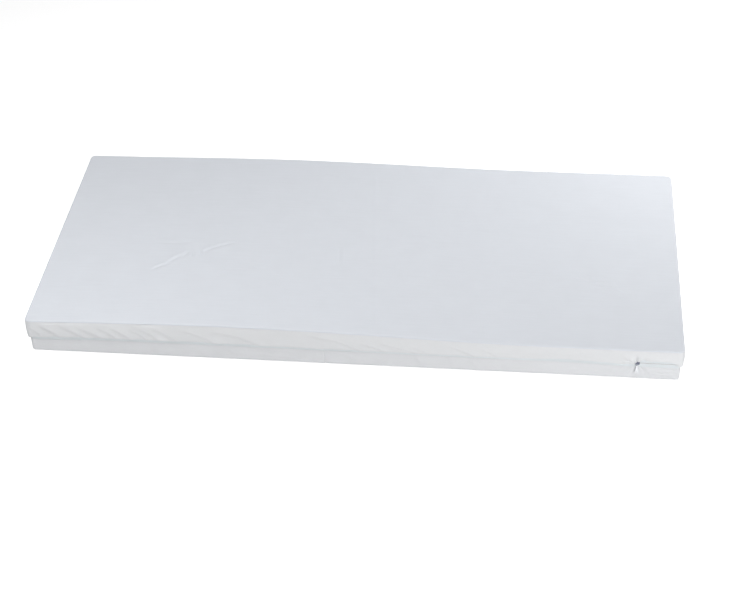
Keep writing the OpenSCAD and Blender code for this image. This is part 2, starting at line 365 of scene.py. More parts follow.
def foamMaterial(name, look):  # open cells on object coordinates
    material, tree, shader = newMaterial(name, look["colour"], 0.9)
    link = tree.links.new
    shader.inputs["Specular IOR Level"].default_value = 0.2
    place = addNode(tree, "ShaderNodeTexCoord")
    cells = addNode(tree, "ShaderNodeTexVoronoi", Scale=1 / look["cell"])
    link(place.outputs["Object"], cells.inputs["Vector"])
    tone = addNode(tree, "ShaderNodeTexNoise", Scale=14.0, Detail=6.0)
    link(place.outputs["Object"], tone.inputs["Vector"])
    ramp = addNode(tree, "ShaderNodeValToRGB")
    ramp.color_ramp.elements[0].position = 0.25
    ramp.color_ramp.elements[1].position = 0.8
    ramp.color_ramp.elements[0].color = (*[c * 0.86 for c in look["colour"]], 1)
    ramp.color_ramp.elements[1].color = (*look["colour"], 1)
    link(tone.outputs["Fac"], ramp.inputs["Fac"])
    link(ramp.outputs["Color"], shader.inputs["Base Color"])
    pores = addNode(tree, "ShaderNodeBump")
    pores.inputs["Strength"].default_value = 0.5
    pores.inputs["Distance"].default_value = 0.0006
    link(cells.outputs["Distance"], pores.inputs["Height"])
    link(pores.outputs["Normal"], shader.inputs["Normal"])
    return material


def plainMaterial(name, look):  # metal or plastic with fine wear
    material, tree, shader = newMaterial(name, look["colour"], look["roughness"])
    link = tree.links.new
    shader.inputs["Metallic"].default_value = look["metallic"]
    place = addNode(tree, "ShaderNodeTexCoord")
    wear = addNode(tree, "ShaderNodeTexNoise", Scale=look["wearScale"], Detail=6.0)
    link(place.outputs["Object"], wear.inputs["Vector"])
    rough = addNode(tree, "ShaderNodeMapRange")
    rough.inputs["To Min"].default_value = look["roughness"] * 0.8
    rough.inputs["To Max"].default_value = look["roughness"] * 1.3
    link(wear.outputs["Fac"], rough.inputs["Value"])
    link(rough.outputs["Result"], shader.inputs["Roughness"])
    ramp = addNode(tree, "ShaderNodeValToRGB")
    ramp.color_ramp.elements[0].color = (*[c * 0.85 for c in look["colour"]], 1)
    ramp.color_ramp.elements[1].color = (*look["colour"], 1)
    link(wear.outputs["Fac"], ramp.inputs["Fac"])
    link(ramp.outputs["Color"], shader.inputs["Base Color"])
    scratches = addNode(tree, "ShaderNodeBump")
    scratches.inputs["Strength"].default_value = 0.15
    scratches.inputs["Distance"].default_value = 0.0001
    link(wear.outputs["Fac"], scratches.inputs["Height"])
    link(scratches.outputs["Normal"], shader.inputs["Normal"])
    return material


fabricLooks = {
    "top": {
        # the top cloth's colour is its own near-white plus a painted cool blue tint, a painted reflection of cool light
        # from above
        "colour": (0.708, 0.735, 0.782), "roughness": 0.62, "sheen": 0.12, "specular": 0.25,
        "thread": 0.0011, "slubScale": (9, 150, 1), "patchScale": 13.0, "mottle": 0.022,
        "weaveBump": 0.35, "slubBump": 0.16,
    },
    "border": {
        "colour": (0.74, 0.75, 0.765), "roughness": 0.66, "sheen": 0.15, "specular": 0.2,
        "thread": 0.0011, "slubScale": (60, 300, 1), "patchScale": 22.0, "mottle": 0.02,
        "weaveBump": 0.35, "slubBump": 0.16,
    },
    "base": {
        "colour": (0.745, 0.755, 0.775), "roughness": 0.7, "sheen": 0.15, "specular": 0.2,
        "thread": 0.0012, "slubScale": (60, 260, 1), "patchScale": 20.0, "mottle": 0.025,
        "weaveBump": 0.4, "slubBump": 0.16,
    },
    "tape": {
        # the zip tape's colour is its own light grey plus a painted blue-grey tint, painted shade that stands in for
        # the shadow under the flap
        "colour": (0.73, 0.77, 0.795), "roughness": 0.7, "sheen": 0.2, "specular": 0.25,
        "thread": 0.0008, "slubScale": (300, 900, 1), "patchScale": 40.0, "mottle": 0.03,
        "weaveBump": 0.6, "slubBump": 0.2,
    },
    "thread": {
        "colour": (0.80, 0.81, 0.82), "roughness": 0.6, "sheen": 0.2, "specular": 0.3,
        "thread": 0.0003, "slubScale": (900, 900, 1), "patchScale": 200.0, "mottle": 0.04,
        "weaveBump": 0.5, "slubBump": 0.2,
    },
}
foamLooks = {
    "memory": {"colour": (0.84, 0.80, 0.66), "cell": 0.0016},
    "castellated": {"colour": (0.78, 0.74, 0.55), "cell": 0.0022},
    "bolster": {"colour": (0.36, 0.47, 0.60), "cell": 0.0024},
    "base": {"colour": (0.62, 0.62, 0.58), "cell": 0.0026},
}
coilLook = {"colour": (0.93, 0.935, 0.95), "roughness": 0.45, "metallic": 0.0, "wearScale": 400.0}
# the slider's dark colour is partly its own metal and partly painted shade, standing in for the shadowed pucker of
# cloth round the slider
sliderLook = {"colour": (0.17, 0.18, 0.23), "roughness": 0.34, "metallic": 1.0, "wearScale": 500.0}
pullLook = {"colour": (0.80, 0.81, 0.84), "roughness": 0.42, "metallic": 1.0, "wearScale": 500.0}

topCloth = fabricMaterial("top_fabric", fabricLooks["top"])
borderCloth = fabricMaterial("border_fabric", fabricLooks["border"])
baseCloth = fabricMaterial("base_fabric", fabricLooks["base"])
tapeCloth = fabricMaterial("zip_tape", fabricLooks["tape"])
threadCloth = fabricMaterial("sewing_thread", fabricLooks["thread"])
coilPlastic = plainMaterial("coil_plastic", coilLook)
sliderMetal = plainMaterial("slider_metal", sliderLook)
pullMetal = plainMaterial("pull_metal", pullLook)
foams = {key: foamMaterial(key + "_foam", look) for key, look in foamLooks.items()}
print("materials done")


def finishPiece(piece, body, material, slot, *nodes):  # what every piece needs
    piece.data.materials.append(material)
    if body is not None:
        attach(piece, body)
    if body == "cover_top":
        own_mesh(piece)
    if nodes:
        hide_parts(*nodes)
    return piece


# ---- top panel ----

topPanel = {
    "edgeRoll": 0.0038,
    "rollSteps": 6,
    "coarse": 0.0125,
    "fine": 0.004,
    "pillow": 0.0015,
    "waviness": 0.0004,
    # from x, from y, to x, to y, bend, width, depth
    "wrinkles": [
        (-0.650, -0.190, -0.598, -0.152, 0.003, 0.0050, 0.0019),
        (-0.604, -0.152, -0.560, -0.102, 0.003, 0.0055, 0.0020),
        (-0.672, -0.040, -0.538, -0.034, -0.006, 0.0055, 0.0014),
        (-0.570, -0.128, -0.548, -0.082, -0.004, 0.0065, 0.0019),
        (-0.548, -0.070, -0.530, -0.120, 0.002, 0.0055, 0.0014),
        (-0.518, -0.064, -0.508, -0.112, 0.002, 0.0050, 0.0014),
        (-0.513, -0.100, -0.392, -0.030, 0.010, 0.0055, 0.0018),
        (-0.360, -0.160, -0.312, -0.169, 0.001, 0.0050, 0.0012),
        (-0.433, -0.214, -0.417, -0.186, 0.001, 0.0060, 0.0013),
        (0.655, -0.110, 0.770, -0.135, -0.002, 0.0060, 0.0012),
        (0.700, -0.135, 0.838, -0.205, 0.011, 0.0065, -0.0017),
        (0.765, -0.190, 0.800, -0.204, 0.002, 0.0055, 0.0012),
        (-0.072, -0.030, -0.062, -0.135, 0.001, 0.0050, 0.0013),
    ],
    # the line where the cover was folded, from the back edge to the front edge
    "foldBack": -0.003,
    "foldFront": 0.082,
    "foldWidth": 0.006,
    "foldHeight": 0.0006,
}


def topSurface(x, y):  # flat plate + slight pillow + long ripples + the fold line + wrinkles
    pillow = topPanel["pillow"] * (1 - (x / halfLength) ** 2) * (1 - (y / halfWidth) ** 2)
    ripple = np.sin(5.3 * x + 1.7 * np.sin(4.1 * y)) * np.sin(6.2 * y + 1.3 * np.sin(3.7 * x + 0.8))
    foldX = topPanel["foldFront"] + (topPanel["foldBack"] - topPanel["foldFront"]) * (y + halfWidth) / (2 * halfWidth)
    fold = topPanel["foldHeight"] * np.exp(-(((x - foldX) / topPanel["foldWidth"]) ** 2))
    return pillow + topPanel["waviness"] * ripple + fold + creases(x, y, topPanel["wrinkles"])


def roundedPlan(x, y, inset):  # a square corner block is drawn onto a quarter disc, so the outline gets round corners
    radius = cornerR - inset
    a = np.clip((np.abs(x) - straightX) / radius, 0, 1)
    b = np.clip((np.abs(y) - straightY) / radius, 0, 1)
    roundX = a * np.sqrt(1 - 0.5 * b * b)
    roundY = b * np.sqrt(1 - 0.5 * a * a)
    fromCentre = np.hypot(roundX, roundY)
    stretch = 1 + (squared(np.arctan2(roundY, roundX)) - 1) * fromCentre
    newX = np.where(np.abs(x) > straightX, np.sign(x) * (straightX + radius * roundX * stretch), x)
    newY = np.where(np.abs(y) > straightY, np.sign(y) * (straightY + radius * roundY * stretch), y)
    fromEdge = np.minimum(halfLength - inset - np.abs(newX), halfWidth - inset - np.abs(newY))
    inCorner = (np.abs(x) > straightX) & (np.abs(y) > straightY)
    fromEdge = np.where(inCorner, radius * (1 - fromCentre), fromEdge)
    return newX, newY, np.maximum(fromEdge, 0)


def planLines(half, inset, roll, rollSteps, coarse, fineRanges):  # close lines where the edge rolls over, even ones between
    rollAngles = np.linspace(0, 0.5 * math.pi, rollSteps + 1)
    edge = half - inset - roll * (1 - np.cos(rollAngles))
    straight = half - cornerR
    corner = np.linspace(edge[-1], straight, 5)[1:]
    middle = linesBetween(-straight, straight, coarse, fineRanges)[1:-1]
    side = np.concatenate([edge, corner])
    return np.concatenate([-side, middle, side[::-1]])


def makeTopPanel():
    look = topPanel
    roll = look["edgeRoll"]
    fineX = [(-0.68, -0.33, look["fine"]), (-0.09, 0.10, look["fine"]), (0.63, 0.84, look["fine"])]
    fineY = [(-0.225, -0.02, look["fine"])]
    xLines = planLines(halfLength, 0, roll, look["rollSteps"], look["coarse"], fineX)
    yLines = planLines(halfWidth, 0, roll, look["rollSteps"], look["coarse"], fineY)
    gridX, gridY = np.meshgrid(xLines, yLines)
    x, y, fromEdge = roundedPlan(gridX, gridY, 0)
    inside = np.clip(roll - fromEdge, 0, roll)
    drop = roll - np.sqrt(np.maximum(roll**2 - inside**2, 0))
    calm = smoothStep((fromEdge - 0.5 * roll) / 0.02)  # the relief fades out at the rolled edge
    z = settled(x, y, height - drop + calm * topSurface(x, y))
    vertices = np.stack([x, y, z], axis=-1).reshape(-1, 3)
    uv = np.stack([x, y], axis=-1).reshape(-1, 2)
    piece = meshFrom("top_panel_cloth", vertices, gridFaces(*x.shape), uv)
    thicken(piece, fabricT)
    finishPiece(piece, "cover_top", topCloth, "cover_top_fabric", "top_panel")
    return piece


# ---- upper border: strips that hang from the top panel's seam ----

upperBorder = {
    "step": 0.0032,
    "cornerStep": 0.0016,
    "rows": 34,
    "seamTuck": 0.0019,  # how far the sewn edge turns in
    "seamWidth": 0.0024,
    "bulge": 0.0018,
    "hemWidth": 0.009,
    "hemStep": 0.0004,
    "hemWave": 0.0007,
    # folds in the flap, from the seam side down to the hem: from x, from z, to x, to z, bend, width, how far out
    "folds": [
        (-0.970, 0.094, -0.946, 0.068, 0.002, 0.0084, 0.0057),
        (-0.940, 0.108, -0.889, 0.068, 0.003, 0.0092, 0.0072),
        (-0.876, 0.110, -0.810, 0.068, 0.003, 0.0095, 0.0081),
        (-0.822, 0.108, -0.756, 0.068, 0.003, 0.0089, 0.0074),
        (-0.757, 0.109, -0.710, 0.068, 0.003, 0.0086, 0.0069),
        (-0.716, 0.110, -0.668, 0.068, 0.003, 0.0084, 0.0062),
        (-0.657, 0.104, -0.612, 0.068, 0.003, 0.0081, 0.0057),
        (-0.640, 0.114, -0.578, 0.072, 0.004, 0.0081, 0.0062),
        (-0.592, 0.116, -0.528, 0.070, 0.004, 0.0084, 0.0057),
        (-0.500, 0.108, -0.410, 0.069, 0.006, 0.0058, 0.0036),
        (-0.410, 0.108, -0.272, 0.069, 0.008, 0.0072, 0.0042),
        (-0.112, 0.112, 0.025, 0.070, 0.009, 0.0056, 0.0036),
        (0.042, 0.094, 0.102, 0.066, 0.003, 0.0048, 0.0030),
        (0.085, 0.100, 0.192, 0.070, 0.003, 0.0058, 0.0028),
        (0.192, 0.092, 0.230, 0.070, 0.001, 0.0056, 0.0024),
        (0.302, 0.104, 0.376, 0.064, 0.002, 0.0054, 0.0030),
        (0.410, 0.092, 0.440, 0.066, 0.001, 0.0060, 0.0026),
        (0.705, 0.104, 0.628, 0.076, 0.001, 0.0090, -0.0014),
    ],
    # places where the flap stands off the tape: x, half length, how far out, how far up
    "gapes": [
        (-0.590, 0.050, 0.0034, 0.0015),
        (-0.405, 0.030, 0.0034, 0.0015),
        (-0.270, 0.035, 0.0024, 0.0010),
        (0.152, 0.034, 0.0036, 0.0020),
        (0.375, 0.026, 0.0020, 0.0010),
        (0.918, 0.052, 0.0028, 0.0),
    ],
    # long stretches where the hem sits higher: x, half length, how far up
    "rises": [
        (-0.880, 0.130, 0.0060),
        (-0.550, 0.550, 0.0040),
        (0.680, 0.260, 0.0055),
    ],
    # the slider drags the flap in, and past it the flap rides up off the coil
    "pinchReach": 0.050,
    "pinchIn": 0.0012,
    "pinchFolds": 9,
    "pinchFoldDepth": 0.0048,
    "liftStart": 0.010,
    "liftRise": 0.0225,
    "liftEnd": 0.150,
}


def frontX(s):  # x of a place on the front's straight stretch
    return s - straightX


def onFront(s):  # 1 on the front's straight stretch, fading out into the corners
    fade = 0.5 * cornerR
    return smoothStep((s + fade) / fade) * smoothStep((2 * straightX + fade - s) / fade)


def pinch(x, z, radiusScale=1.0):  # folds that fan out from the slider, and the pull of the cloth towards it
    look = upperBorder
    dx = x - sliderX
    dz = z - (flapZ + 0.002)
    reach = look["pinchReach"] * radiusScale
    r = np.hypot(dx, 1.15 * dz)
    angle = np.arctan2(dz, dx)
    fan = np.cos(look["pinchFolds"] * angle + 1.6 * np.sin(2 * angle)) + 0.4 * np.cos(5 * angle + 1.0)
    near = smoothStep((r - 0.008) / 0.006) * (1 - smoothStep((r - 0.012) / reach))
    return look["pinchFoldDepth"] * fan * near - 2.0 * look["pinchIn"] * np.exp(-((r / 0.012) ** 2))


def hemHeight(s):  # the flap's edge: level, with a fine wave, up off the tape at the gapes and past the slider, level with the zip at its ends
    look = upperBorder
    x = frontX(s)
    wave = look["hemWave"] * (np.sin(41 * s) + 0.6 * np.sin(97 * s + 1.2))
    gapes = sum(up * hump(x, centre, half) for centre, half, out, up in look["gapes"]) * onFront(s)
    past = x - sliderX
    lift = look["liftRise"] * smoothStep((past + 0.012) / 0.022) * (1 - smoothStep((past - 0.085) / (look["liftEnd"] - 0.085)))
    rise = sum(up * hump(x, centre, half) for centre, half, up in look["rises"])
    fromFront = np.where(s > frontEnd, s - frontEnd, np.where(s < frontStart, frontStart - s, 0))
    toEnd = smoothStep((fromFront - (zippedEnd - 0.030)) / 0.028)
    level = flapZ + wave + gapes + lift * onFront(s) + rise * onFront(s)
    return level * (1 - toEnd) + zipZ * toEnd


def makeUpperBorder(name, node, sLow, sHigh, zipped):
    look = upperBorder
    cornerRanges = [(sLow, sLow + arcLength, look["cornerStep"]), (sHigh - arcLength, sHigh, look["cornerStep"])]
    s = linesBetween(sLow, sHigh, look["step"] if zipped == "front" else 0.008, cornerRanges if zipped != "end" else [])
    v = np.concatenate([[0, 0.012, 0.030, 0.05], np.linspace(0.08, 0.97, look["rows"] - 8), [0.985, 0.995, 1.0]])[:, None]
    signed = np.where(s > 0.5 * aroundLength, s - aroundLength, s)
    seamZ = height - topPanel["edgeRoll"]
    hem = hemHeight(signed) if zipped else np.full_like(s, zipZ)
    drop = (seamZ - hem)[None, :]
    z = seamZ - v * drop
    fromSeam = v * drop
    depth = look["seamTuck"] * (1 - smoothStep(fromSeam / look["seamWidth"])) - look["bulge"] * np.sin(math.pi * v)
    if zipped:
        atHem = smoothStep((look["hemWidth"] - (1 - v) * drop) / 0.0015)
        depth = depth - look["hemStep"] * (atHem - 0.6 * v)
    x = frontX(s)[None, :]
    if zipped == "front":
        front = onFront(s)[None, :]
        lifted = z + zipRise(x)
        slack = 0.0004 * np.sin(39 * x + 60 * z + 2 * np.sin(11 * x)) + 0.0003 * np.sin(83 * x - 45 * z)
        relief = folds(x, lifted, look["folds"]) + slack + pinch(x, z)
        out = sum(far * hump(x, centre, half) for centre, half, far, up in look["gapes"])
        relief = relief + out * smoothStep((v - 0.55) / 0.45)
        depth = depth - relief * front * smoothStep(fromSeam / 0.008)
    else:
        slow = np.sin(17 * s + 0.6 * np.sin(31 * s))[None, :] * np.sin(math.pi * v)
        depth = depth - 0.0009 * slow
        if zipped:
            small = np.sqrt(np.abs(np.sin(math.pi * (s[None, :] + 0.8 * (1 - v) * drop) / 0.061)) + 0.02) - 0.6
            depth = depth - 0.0014 * small * smoothStep((v - 0.15) / 0.5)
    piece = stripSheet(name, s, np.broadcast_to(depth, z.shape).copy(), z)
    thicken(piece, fabricT)
    finishPiece(piece, "cover_top", borderCloth, "cover_border_fabric", node)
    return piece


# ---- lower border: strips from the floor up to the lower tape ----

lowerBorder = {
    "step": 0.004,
    "rows": 24,
    "baseRoll": 0.006,
    "rollRows": 6,
    "bulge": 0.0006,
    "proud": 0.0001,
    "clothT": 0.0009,
    "lap": 0.004,  # the left strip is sewn over the end of the right one
    "lapTuck": 0.0011,
    "lapFade": 0.010,
    # slack folds below the zip, as in the upper border
    "folds": [
        (-0.876, 0.052, -0.868, 0.012, 0.001, 0.0080, 0.0016),
        (-0.830, 0.056, -0.820, 0.018, 0.001, 0.0080, 0.0016),
        (-0.626, 0.056, -0.588, 0.014, 0.002, 0.0070, 0.0022),
        (-0.700, 0.050, -0.690, 0.012, 0.001, 0.0110, 0.0012),
        (-0.480, 0.052, -0.445, 0.012, 0.002, 0.0080, 0.0018),
        (-0.380, 0.050, -0.350, 0.012, 0.002, 0.0070, 0.0016),
        (-0.262, 0.052, -0.120, 0.014, 0.004, 0.0070, 0.0024),
        (-0.010, 0.040, 0.012, 0.008, 0.001, 0.0070, 0.0020),
        (0.196, 0.054, 0.214, 0.010, 0.001, 0.0080, 0.0022),
        (0.298, 0.056, 0.306, 0.030, 0.001, 0.0070, 0.0020),
        (0.360, 0.052, 0.378, 0.008, 0.001, 0.0070, 0.0026),
        (0.458, 0.050, 0.470, 0.010, 0.001, 0.0100, 0.0014),
        (0.620, 0.046, 0.628, 0.008, 0.001, 0.0100, 0.0012),
        (0.794, 0.034, 0.779, 0.006, 0.001, 0.0060, -0.0022),
        (0.862, 0.042, 0.893, 0.018, 0.001, 0.0056, 0.0026),
        (0.880, 0.046, 0.968, 0.010, 0.001, 0.0060, 0.0024),
    ],
    # level ridges at the right end of the front
    "ridgeFrom": 0.885,
    "ridgePitch": 0.014,
    "ridgeDepth": 0.0012,
}


def makeLowerBorder(name, node, sLow, sHigh, topZ, front=False, under=None):
    look = lowerBorder
    roll = look["baseRoll"]
    s = linesBetween(sLow, sHigh, look["step"] if front else 0.009)
    v = np.linspace(0, 1, look["rows"])[:, None]
    z = topZ + (roll - topZ) * v + 0 * s[None, :]
    bulge = look["bulge"] * smoothStep((tapeLow.z + 0.001 - z) / 0.008) * smoothStep((z - 0.002) / 0.012)
    depth = lowerInset - look["proud"] - bulge
    x = frontX(s)[None, :]
    if front:
        relief = folds(x, z, look["folds"])
        relief = relief + 0.8 * pinch(x, z, 1.2) * smoothStep((topZ - 0.008 - z) / 0.01)
        level = np.sin(2 * math.pi * (z + 0.10 * (x - 0.93)) / look["ridgePitch"])
        relief = relief + look["ridgeDepth"] * level * smoothStep((x - look["ridgeFrom"]) / 0.05) * np.sin(math.pi * v)
        relief = np.clip(relief - 0.0010, -0.0026, 0)  # the pull swings close past this cloth
        depth = depth - relief * onFront(s)[None, :] * smoothStep((z - 0.001) / 0.010) * smoothStep((topZ - z) / 0.012)
    else:
        depth = depth - 0.0010 * np.sin(15 * s + 0.8 * np.sin(29 * s))[None, :] * np.sin(math.pi * v)
    if under is not None:
        depth = depth + look["lapTuck"] * (1 - smoothStep((s[None, :] - under - look["lap"]) / look["lapFade"]))
    turn = np.linspace(0, 0.5 * math.pi, look["rollRows"] + 1)[1:, None]
    rollZ = roll * (1 - np.sin(turn)) + 0 * s[None, :]
    rollDepth = depth[-1:, :] + roll * (1 - np.cos(turn))
    piece = stripSheet(name, s, np.concatenate([depth, rollDepth]), np.concatenate([z, rollZ]))
    thicken(piece, look["clothT"])
    finishPiece(piece, "mattress_base", baseCloth, "cover_base_fabric", node)
    return piece


def makeBottomPanel():
    inset = lowerInset - lowerBorder["proud"] + lowerBorder["baseRoll"]
    xLines = planLines(halfLength, inset, 0.002, 3, 0.03, [])
    yLines = planLines(halfWidth, inset, 0.002, 3, 0.03, [])
    gridX, gridY = np.meshgrid(xLines, yLines)
    x, y, fromEdge = roundedPlan(gridX, gridY, inset)
    vertices = np.stack([x, y, 0 * x], axis=-1).reshape(-1, 3)
    uv = np.stack([x, y], axis=-1).reshape(-1, 2)
    piece = meshFrom("bottom_panel_cloth", vertices, gridFaces(*x.shape, turned=True), uv)
    thicken(piece, fabricT)
    finishPiece(piece, "mattress_base", baseCloth, "cover_base_fabric", "bottom_panel")
    return piece


# ---- back seam: the fabric hinge that joins the two halves ----

backSeam = {
    "step": 0.006,
    "ledgeRows": 6,
    "turnRows": 22,
    "reachUp": 0.010,
    "proud": 0.0005,
    "bead": 0.0016,
}


def makeBackSeam():
    look = backSeam
    sLow, sHigh = zipStop, aroundLength + zipStart
    s = linesBetween(sLow, sHigh, look["step"], [(sLow, sLow + 0.05, 0.002), (sHigh - 0.05, sHigh, 0.002)])
    inner = lowerInset + fabricT
    ledge = np.linspace(inner, 0.0015, look["ledgeRows"])
    ledgeZ = zipZ - 0.0006 + 0 * ledge
    t = np.linspace(0, 1, look["turnRows"])
    bead = look["bead"] * np.sin(math.pi * np.clip(t / 0.35, 0, 1))
    riseDepth = 0.0012 * (1 - smoothStep(t / 0.12)) - look["proud"] - bead
    riseZ = zipZ - 0.0004 + look["reachUp"] * t
    depth = np.concatenate([riseDepth[::-1], ledge[::-1]])[:, None] + 0 * s[None, :]
    z = np.concatenate([riseZ[::-1], ledgeZ[::-1]])[:, None] + 0 * s[None, :]
    piece = stripSheet("back_seam_cloth", s, depth, z)
    thicken(piece, 0.0004)
    finishPiece(piece, None, borderCloth, "cover_base_fabric", "back_seam_tape")
    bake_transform(piece)
    return piece


# ---- zip ----

zipper = {
    "coilPitch": 0.0021,
    "wireR": 0.0006,
    "wireSides": 4,
    "turnPoints": 8,
    "overlap": 0.0005,
    "tapeRows": 9,
    "tapeIntoCoil": 0.0020,  # the tape's edge runs on through the middle of the coil
    "tapeStep": 0.008,
}


def makeTape(name, node, body, lowZ, highZ, hangs):
    s = linesBetween(zipStart, zipStop, zipper["tapeStep"], [(sliderX + straightX - 0.05, sliderX + straightX + 0.15, 0.003)])
    v = np.linspace(0, 1, zipper["tapeRows"])[:, None]
    if hangs:
        highZ = highZ + zipper["tapeIntoCoil"]
    else:
        lowZ = lowZ - zipper["tapeIntoCoil"]
    z = highZ + (lowZ - highZ) * v + 0 * s[None, :]
    away = v if hangs else 1 - v  # 0 at the coil, 1 at the sewn edge
    waves = 0.0004 * np.sin(73 * s + 1.5 * np.sin(19 * s))[None, :] * away * (1 - away) * 4
    piece = stripSheet(name, s, tapeIn - 0.0001 - np.abs(waves), z)
    thicken(piece, lowerInset - tapeIn)
    finishPiece(piece, body, tapeCloth, "zip_tape", node)
    return piece


def makeCoil(name, node, body, sign, shift):  # a helix that follows the zip, from the tape's edge over to the other half
    look = zipper
    sLow, sHigh = zipStart + coilTrim, zipStop - coilTrim
    turns = int((sHigh - sLow) / look["coilPitch"])
    t = np.arange(turns * look["turnPoints"] + 1) / look["turnPoints"]
    angle = 2 * math.pi * t
    outer = coilHalf + 0.5 * (upperCoilLow.z - coilHigh.z)
    middle = 0.5 * (outer - look["overlap"])
    swing = 0.5 * (outer + look["overlap"]) - look["wireR"]
    up = middle + swing * np.cos(angle)
    middleDepth = tapeIn + 0.5 * (lowerInset - tapeIn)
    swingDepth = 0.5 * (2 * (middleDepth - coilIn)) - look["wireR"]
    depth = middleDepth + swingDepth * np.sin(angle)
    s = sLow + look["coilPitch"] * (t + shift)
    x, y, outX, outY = outlinePoint(s, depth)
    z = settled(x, y, zipZ + sign * up)
    centre = np.stack([x, y, z], axis=-1)
    tangent = np.gradient(centre, axis=0)
    tangent /= np.linalg.norm(tangent, axis=1, keepdims=True)
    alongX, alongY = -outY, outX
    along = np.stack([alongX, alongY, 0 * alongX], axis=-1)
    side = np.cross(tangent, along)
    side /= np.linalg.norm(side, axis=1, keepdims=True)
    other = np.cross(side, tangent)
    around = 2 * math.pi * np.arange(look["wireSides"]) / look["wireSides"]
    ring = look["wireR"] * (np.cos(around)[None, :, None] * side[:, None, :] + np.sin(around)[None, :, None] * other[:, None, :])
    vertices = (centre[:, None, :] + ring).reshape(-1, 3)
    faces = gridFaces(len(t), look["wireSides"], ring=True)
    piece = meshFrom(name, vertices, faces)
    closeEnds(piece, look["wireSides"])
    finishPiece(piece, body, coilPlastic, "zip_coil", node)
    return piece


def closeEnds(piece, sides):  # caps on both ends of a tube, and normals made to point outwards
    work = bmesh.new()
    work.from_mesh(piece.data)
    work.verts.ensure_lookup_table()
    count = len(work.verts)
    for first in (0, count - sides):
        work.faces.new([work.verts[first + k] for k in range(sides)])
    bmesh.ops.recalc_face_normals(work, faces=work.faces)
    for face in work.faces:
        face.smooth = True
    work.to_mesh(piece.data)
    work.free()


def makeHemFold():  # the turned-in edge slopes from the border's inner face in to the top of the tape
    s = linesBetween(zipStart, zipStop, 0.006)
    t = np.linspace(0, 1, 12)[:, None]
    signed = np.where(s > 0.5 * aroundLength, s - aroundLength, s)
    lowZ = np.maximum(hemFoldLow.z - 0.006, hemHeight(signed) + 0.003)[None, :]
    z = hemFoldHigh.z + (lowZ - hemFoldHigh.z) * t
    depth = fabricT + 0.0006 + (tapeIn - fabricT - 0.0010) * smoothStep(1 - t) + 0.0003 * np.sin(61 * s)[None, :] * t
    piece = stripSheet("upper_hem_fold_cloth", s, depth, z)
    thicken(piece, 0.0005)
    finishPiece(piece, "cover_top", borderCloth, "cover_border_fabric", "upper_hem_fold")
    return piece


# ---- sewing ----

sewing = {"pitch": 0.0042, "length": 0.0031, "radius": 0.00032, "sides": 5}


def makeStitches(name, body, slot, s, depth, z, upright=False):  # one small spindle per stitch, drawn as five-sided rings
    look = sewing
    x, y, outX, outY = outlinePoint(s, depth)
    centre = np.stack([x, y, settled(x, y, z)], axis=-1)
    out = np.stack([outX, outY, 0 * outX], axis=-1)
    upward = np.stack([0 * outX, 0 * outX, 1 + 0 * outX], axis=-1)
    along = upward if upright else np.stack([-outY, outX, 0 * outX], axis=-1)
    across = np.cross(out, along)
    t = np.array([-0.5, -0.36, 0, 0.36, 0.5])
    size = look["radius"] * np.array([0.25, 0.85, 1, 0.85, 0.25])
    lift = look["radius"] * np.array([-0.6, 0.1, 0.5, 0.1, -0.6])
    around = 2 * math.pi * np.arange(look["sides"]) / look["sides"]
    body3 = centre[:, None, None, :] + look["length"] * t[None, :, None, None] * along[:, None, None, :]
    body3 = body3 + lift[None, :, None, None] * out[:, None, None, :]
    body3 = body3 + size[None, :, None, None] * (
        np.cos(around)[None, None, :, None] * out[:, None, None, :] + np.sin(around)[None, None, :, None] * across[:, None, None, :]
    )
    count, sides = len(s), look["sides"]
    vertices = body3.reshape(-1, 3)
    one = gridFaces(5, sides, ring=True)
    if not upright:
        one = one[:, ::-1]
    faces = (one[None, :, :] + (np.arange(count) * 5 * sides)[:, None, None]).reshape(-1, 4)
    piece = meshFrom(name, vertices, faces, np.repeat(np.stack([s, z + 0 * s], axis=-1), 5 * sides, axis=0))
    finishPiece(piece, body, threadCloth, slot)
    return piece


# ---- foam core ----

foamCore = {
    "edge": 0.004,
    "memoryEdge": 0.009,
    "slices": 30,
}


def makeFoam(name, node, foam, slot, slices):
    piece = copyOfNode(name, node, foamCore["edge"], slices, settle=True)
    finishPiece(piece, "mattress_base", foams[foam], slot, node)
    return piece


def makeMemoryFoam():  # a closed slab: a crowned top, a flat bottom and a rounded rim, all drawn from one plan grid
    low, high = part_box("memory_foam_layer")
    inset = halfLength - high.x
    roll = foamCore["memoryEdge"]
    xLines = planLines(halfLength, inset, roll, 6, 0.016, [])
    yLines = planLines(halfWidth, inset, roll, 6, 0.016, [])
    gridX, gridY = np.meshgrid(xLines, yLines)
    x, y, fromEdge = roundedPlan(gridX, gridY, inset)
    inside = np.clip(roll - fromEdge, 0, roll)
    drop = roll - np.sqrt(np.maximum(roll**2 - inside**2, 0))
    ripple = 0.0004 * np.sin(9 * x + 2 * np.sin(5 * y)) * np.sin(11 * y + 1.5 * np.sin(6 * x))
    topZ = settled(x, y, high.z - 0.0012 - drop + ripple)
    bottomZ = settled(x, y, low.z + 0.4 * drop)
    rows, columns = x.shape
    top = np.stack([x, y, topZ], axis=-1).reshape(-1, 3)
    bottom = np.stack([x, y, bottomZ], axis=-1).reshape(-1, 3)
    index = np.arange(rows * columns).reshape(rows, columns)
    rim = np.concatenate([index[0, :-1], index[:-1, -1], index[-1, :0:-1], index[:0:-1, 0]])
    after = np.roll(rim, -1)
    offset = rows * columns
    wall = np.stack([rim, rim + offset, after + offset, after], axis=-1)
    faces = np.concatenate([gridFaces(rows, columns), gridFaces(rows, columns, turned=True) + offset, wall])
    piece = meshFrom("memory_foam", np.concatenate([top, bottom]), faces)
    finishPiece(piece, "mattress_base", foams["memory"], "memory_foam", "memory_foam_layer")
    return piece


# ---- making every piece ----

